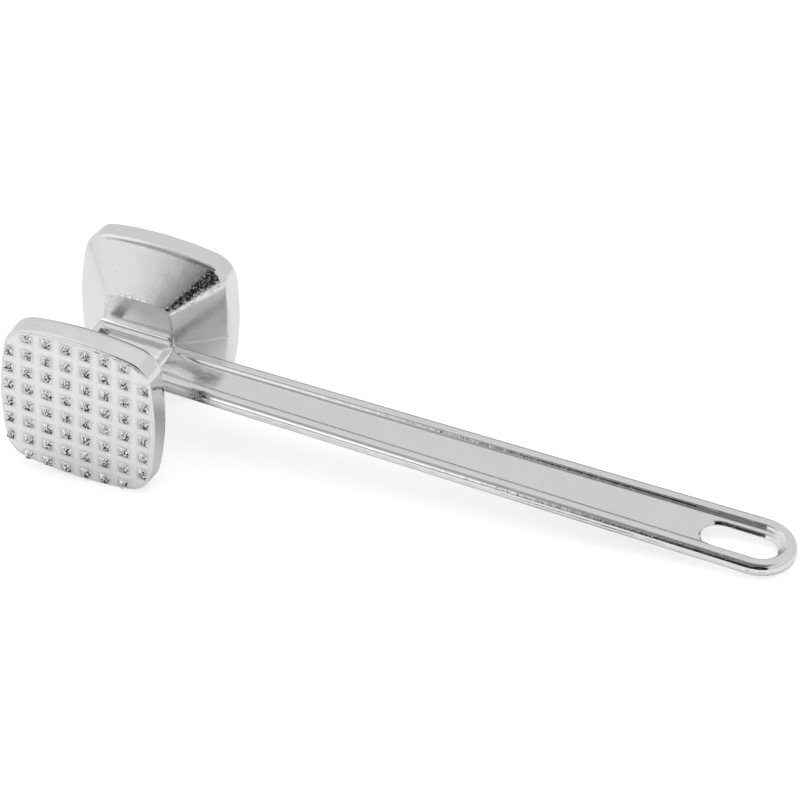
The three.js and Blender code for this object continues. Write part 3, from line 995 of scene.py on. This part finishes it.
def as_cast_metal():
    """Dull pale metal, with soot and painted shade in dark flecks on the teeth, heavier on each tooth's low
    side, grit on the teeth, grime and painted shade in its hollows, and a ring of painted shade round the
    foot of each tooth.
    """
    material, tree, shader = new_metal("as_cast_aluminium")
    place = node(tree, "ShaderNodeTexCoord").outputs["Object"]
    wear_and_shade = stored(tree, "wear_and_shade")
    grit_and_shade = stored(tree, "grit_and_shade")
    cloud = grain(tree, place, 150, 5)
    # Grime and painted shade in inner corners and hollows.
    hollow_shade = mapped(tree, wear_and_shade, 0.1, 0.5, 1, 0)
    on_tooth = mapped(tree, grit_and_shade, 0.02, 0.25, 0, 1)
    # Painted shade: the dark flecks grow heavier on each tooth's low side.
    low_side = mapped(tree, grit_and_shade, 0.25, 0.95, -0.10, 0.10)
    flecks = maths(tree, "ADD", grain(tree, place, 1500, 3, 0.7), low_side)
    # Dark flecks on the teeth: soot, and painted reflection of dark surroundings.
    soot_and_shade = product(tree, mapped(tree, flecks, 0.47, 0.56, 0, 1), on_tooth)
    # A ring of painted shade round the foot of each tooth.
    halo = mapped(tree, grit_and_shade, -0.5, 0, 1, 0)
    dark = total_of(tree, (cloud, 0.10), (hollow_shade, 0.2), (soot_and_shade, 1.0), (halo, 0.14))
    colour = grey_between(tree, dark, *AS_CAST_COLOURS)
    uneven = mapped(tree, grain(tree, place, 500, 4), 0.3, 0.7, 0.24, 0.36)
    roughness = total_of(tree, (uneven, 1.0), (on_tooth, -0.18))
    coarse = grain(tree, place, 900, 4)
    fine = grain(tree, place, 3000, 3, 0.7)
    grains = maths(tree, "SUBTRACT", grain(tree, place, 1500, 2, 0.6), 0.5)
    height = total_of(tree, (coarse, 0.6), (fine, 0.25), (product(tree, grains, on_tooth), 3.5))
    finish_metal(tree, shader, colour, roughness, height, AS_CAST_BUMP)
    return material


# ---------------------------------------------------------------- stage

def light_room():
    """A pale tent with a dark gap in front, where the camera looks in."""
    world = bpy.data.worlds.new("studio")
    bpy.context.scene.world = world
    world.use_nodes = True
    tree = world.node_tree
    tree.nodes.clear()
    way = node(tree, "ShaderNodeTexCoord").outputs["Generated"]
    x, y, z = node(tree, "ShaderNodeSeparateXYZ", {0: way}).outputs
    degrees = 180 / math.pi
    azimuth = product(tree, maths(tree, "ARCTAN2", x, product(tree, y, -1.0)), degrees)
    height = product(tree, maths(tree, "ARCSINE", z), degrees)
    scales = {"azimuth": azimuth, "height": height, "x": x, "y": y}
    value = 0.0
    for (low, low_value), (high, high_value) in zip(TENT, TENT[1:]):
        rise = mapped(tree, height, low, high, 0, high_value - low_value)
        value = maths(tree, "ADD", value, rise)
    value = maths(tree, "ADD", value, TENT[0][1])
    for ranges, brightness in PANELS:
        mask = 1.0
        for scale, (low, high, soft) in ranges.items():
            rising = mapped(tree, scales[scale], low - soft, low + soft, 0, 1, True)
            falling = mapped(tree, scales[scale], high - soft, high + soft, 1, 0, True)
            mask = product(tree, falling, product(tree, rising, mask))
        value = blend(tree, mask, value, brightness)
    seen = node(tree, "ShaderNodeLightPath").outputs["Is Camera Ray"]
    strength = blend(tree, seen, value, BACKDROP)
    shade = node(tree, "ShaderNodeBackground", {"Color": ROOM_TINT, "Strength": strength})
    output = node(tree, "ShaderNodeOutputWorld")
    tree.links.new(shade.outputs[0], output.inputs["Surface"])


def blend(tree, share, first, second):
    """A number part of the way from the first to the second."""
    inputs = {"Factor": share, "A": first, "B": second}
    return node(tree, "ShaderNodeMix", inputs, data_type="FLOAT").outputs[0]


def floor_tilt(blocks, handle_piece):
    """The tilt about Y at which a floor touches both head blocks and the end of the handle."""
    head = np.concatenate([vertex_points(block.data) for block in blocks])
    end = vertex_points(handle_piece.data)
    end = end[end[:, 0] > STRAIGHT_END * MM]
    low, high = 0.0, math.radians(15)
    for _ in range(40):
        tilt = (low + high) / 2
        up = np.array([-math.sin(tilt), 0, math.cos(tilt)])
        if (end @ up).min() > (head @ up).min():
            low = tilt
        else:
            high = tilt
    return tilt, (head @ up).min()


def lay_floor(tilt, level):
    """A wide pale floor. Seen from below it isn't there."""
    mesh = bpy.data.meshes.new("floor")
    corners = [(x * FLOOR_HALF_SIZE, y * FLOOR_HALF_SIZE, 0) for x, y in ((-1, -1), (1, -1), (1, 1), (-1, 1))]
    mesh.from_pydata(corners, [], [(0, 1, 2, 3)])
    floor = bpy.data.objects.new("floor", mesh)
    bpy.context.scene.collection.objects.link(floor)
    up = Vector((-math.sin(tilt), 0, math.cos(tilt)))
    floor.matrix_world = Matrix.Translation(up * level) @ Matrix.Rotation(-tilt, 4, "Y")
    material = bpy.data.materials.new("floor_paper")
    material.use_nodes = True
    tree = material.node_tree
    tree.nodes.clear()
    paper = node(tree, "ShaderNodeBsdfDiffuse", {"Color": (0.9, 0.9, 0.9, 1)}).outputs[0]
    lit = node(tree, "ShaderNodeEmission", {"Strength": FLOOR_GLOW}).outputs[0]
    seen = node(tree, "ShaderNodeLightPath").outputs["Is Camera Ray"]
    share = maths(tree, "MULTIPLY", seen, FLOOR_GLOW_SHARE)
    paper = node(tree, "ShaderNodeMixShader", {0: share, 1: paper, 2: lit}).outputs[0]
    clear = node(tree, "ShaderNodeBsdfTransparent").outputs[0]
    back = node(tree, "ShaderNodeNewGeometry").outputs["Backfacing"]
    both = node(tree, "ShaderNodeMixShader", {0: back, 1: paper, 2: clear}).outputs[0]
    output = node(tree, "ShaderNodeOutputMaterial")
    tree.links.new(both, output.inputs["Surface"])
    mesh.materials.append(material)


def add_lamp(name, place, aim, size, power):
    """A soft lamp for the floor that the metal doesn't mirror."""
    data = bpy.data.lights.new(name, "AREA")
    data.shape = "DISK"
    data.size = size
    data.energy = power
    lamp = bpy.data.objects.new(name, data)
    bpy.context.scene.collection.objects.link(lamp)
    lamp.location = place
    lamp.rotation_mode = "QUATERNION"
    lamp.rotation_quaternion = (Vector(aim) - Vector(place)).to_track_quat("-Z", "Y")
    lamp.visible_glossy = False
    lamp.visible_camera = False


def add_camera():
    """The camera at the photo's angle, aimed from the middle of the CAD box."""
    low, high = cad_box
    aim = (low + high) / 2 + Vector(CAMERA_AIM)
    aim.z = 0
    flat = math.cos(CAMERA_ELEVATION)
    turn_sin = math.sin(CAMERA_AZIMUTH)
    turn_cos = math.cos(CAMERA_AZIMUTH)
    back = Vector((turn_sin * flat, -turn_cos * flat, math.sin(CAMERA_ELEVATION)))
    level_right = Vector((turn_cos, turn_sin, 0))
    level_up = back.cross(level_right)
    right = level_right * math.cos(CAMERA_ROLL) + level_up * math.sin(CAMERA_ROLL)
    up = back.cross(right)
    data = bpy.data.cameras.new("camera")
    data.lens = CAMERA_LENS
    data.sensor_width = 36
    camera = bpy.data.objects.new("camera", data)
    bpy.context.scene.collection.objects.link(camera)
    turned = Matrix((right, up, back)).transposed().to_4x4()
    camera.matrix_world = Matrix.Translation(aim + back * CAMERA_DISTANCE) @ turned
    bpy.context.scene.camera = camera


# ---------------------------------------------------------------- scene

polished = polished_metal()
as_cast = as_cast_metal()
near_block = head_block("head_block_fine_side", -1, polished, ("flange_fine_side", "taper_fine_side"))
far_block = head_block("head_block_coarse_side", 1, polished, ("flange_coarse_side", "taper_coarse_side"))
tooth_face("tooth_plate_fine", FINE, -1, as_cast, ("tooth_face_fine",))
tooth_face("tooth_plate_coarse", COARSE, 1, as_cast, ("tooth_face_coarse",))
handle_piece = handle(polished)

tilt, level = floor_tilt([near_block, far_block], handle_piece)
lay_floor(tilt, level)
light_room()
add_lamp("floor_lamp", (0.1, -0.1, 1.6), (0.1, 0.03, 0), LAMP_SIZE, LAMP_POWER)
add_camera()
bpy.context.scene.view_settings.view_transform = "Standard"
